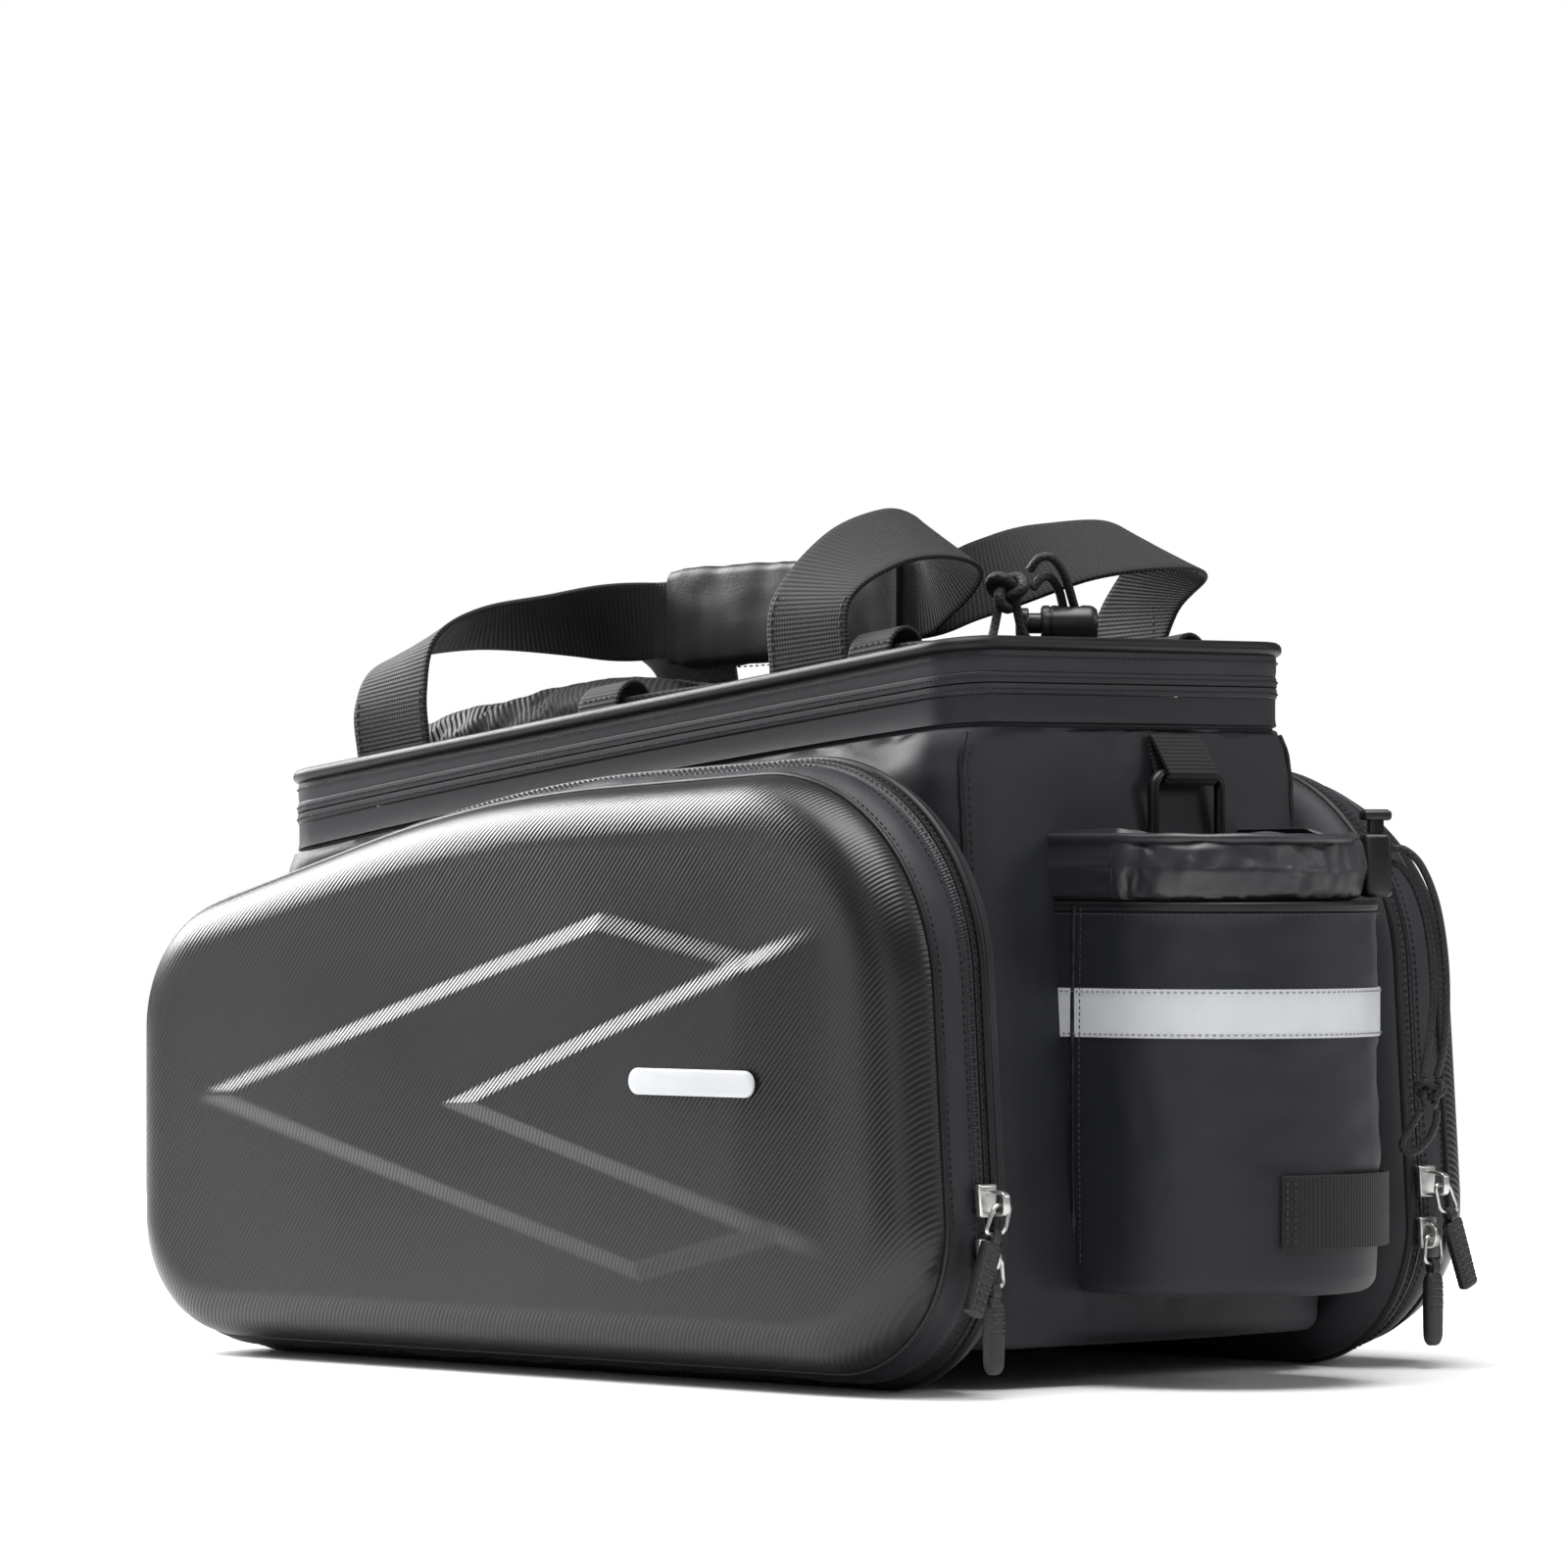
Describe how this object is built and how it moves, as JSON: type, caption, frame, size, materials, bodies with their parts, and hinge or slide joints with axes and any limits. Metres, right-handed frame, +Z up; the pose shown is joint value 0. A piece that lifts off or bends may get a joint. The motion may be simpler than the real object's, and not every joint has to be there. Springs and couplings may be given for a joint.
{
  "type": "bicycle trunk bag",
  "caption": "Wedge-shaped bicycle rack bag with a zipped lid, hard-faced side panniers, bungee lacing, twin webbing handles and a rear bottle pocket.",
  "frame": {"origin": "middle of the flat base that sits on the bicycle rack", "axes": "+X to the bicycle's rear, where the bottle pocket is; -Y to the near side; +Z up"},
  "size_m": [0.4553, 0.3058, 0.3004],
  "materials": {
    "coated_cloth": "coated charcoal fabric with a fine weave",
    "zip_tape": "water-repellent coil zip tape",
    "piping_cloth": "smooth black piping",
    "carbon_shell": "satin black moulded shell with a diagonal twill relief",
    "webbing": "ribbed black webbing",
    "net": "fine elastic net",
    "elastic": "braided elastic cord",
    "lock_plastic": "moulded black plastic",
    "satin": "gathered satin",
    "reflective": "silver reflective tape",
    "steel": "nickel-plated die casting and wire",
    "black_wire": "black painted wire",
    "rubber": "moulded rubber with a pyramid relief"
  },
  "bodies": {
    "bag": {"main_tub": "coated_cloth", "main_zip": "zip_tape", "lid_tray": "coated_cloth", "lid_piping": "piping_cloth", "lid_net_pocket": "net", "tab_front_near": "webbing", "tab_front_far": "webbing", "tab_rear_near": "webbing", "tab_rear_far": "webbing", "handle_near": "webbing", "handle_far": "webbing", "handle_wrap": "coated_cloth", "bungee_cord": "elastic", "bungee_knot": "elastic", "bungee_tail_a": "elastic", "bungee_tail_b": "elastic", "bungee_lock_body": "lock_plastic", "bottle_pocket": "coated_cloth", "pocket_collar": "satin", "pocket_reflective_strip": "reflective", "tail_light_loop": "webbing", "drawcord_tail_a": "elastic", "drawcord_tail_b": "elastic", "drawcord_knot": "elastic", "drawcord_end_loop": "elastic", "drawcord_lock_body": "lock_plastic", "ring_webbing_loop": "webbing", "pannier_near_tub": "coated_cloth", "pannier_near_piping": "piping_cloth", "pannier_near_zip": "zip_tape", "pannier_near_gusset": "coated_cloth", "pannier_near_shell": "carbon_shell", "pannier_near_slider_upper": "steel", "pannier_near_slider_lower": "steel", "pannier_near_pull_ring_upper": "steel", "pannier_near_pull_ring_lower": "steel", "pannier_near_pull_grip_upper": "rubber", "pannier_near_pull_grip_lower": "rubber", "pannier_far_tub": "coated_cloth", "pannier_far_piping": "piping_cloth", "pannier_far_zip": "zip_tape", "pannier_far_gusset": "coated_cloth", "pannier_far_shell": "carbon_shell", "pannier_far_slider_upper": "steel", "pannier_far_slider_lower": "steel", "pannier_far_pull_ring_upper": "steel", "pannier_far_pull_ring_lower": "steel", "pannier_far_pull_grip_upper": "rubber", "pannier_far_pull_grip_lower": "rubber"},
    "bungee_plunger": {"bungee_lock_plunger": "lock_plastic"},
    "drawcord_plunger": {"drawcord_lock_plunger": "lock_plastic"},
    "ring": {"rear_ring": "black_wire"}
  },
  "joints": [
    {"name": "bungee_plunger_slide", "type": "slide", "parent": "bag", "child": "bungee_plunger", "axis": [0.7071, 0.7071, 0], "range_m": [0, 0.004], "stiffness_N_per_m": 200},
    {"name": "drawcord_plunger_slide", "type": "slide", "parent": "bag", "child": "drawcord_plunger", "axis": [0, 0, -1], "range_m": [0, 0.004], "stiffness_N_per_m": 200},
    {"name": "ring_swing", "type": "hinge", "parent": "bag", "child": "ring", "pos_m": [0.181, 0.019, 0.194], "axis": [0, -1, 0], "range_deg": [0, 150]}
  ]
}
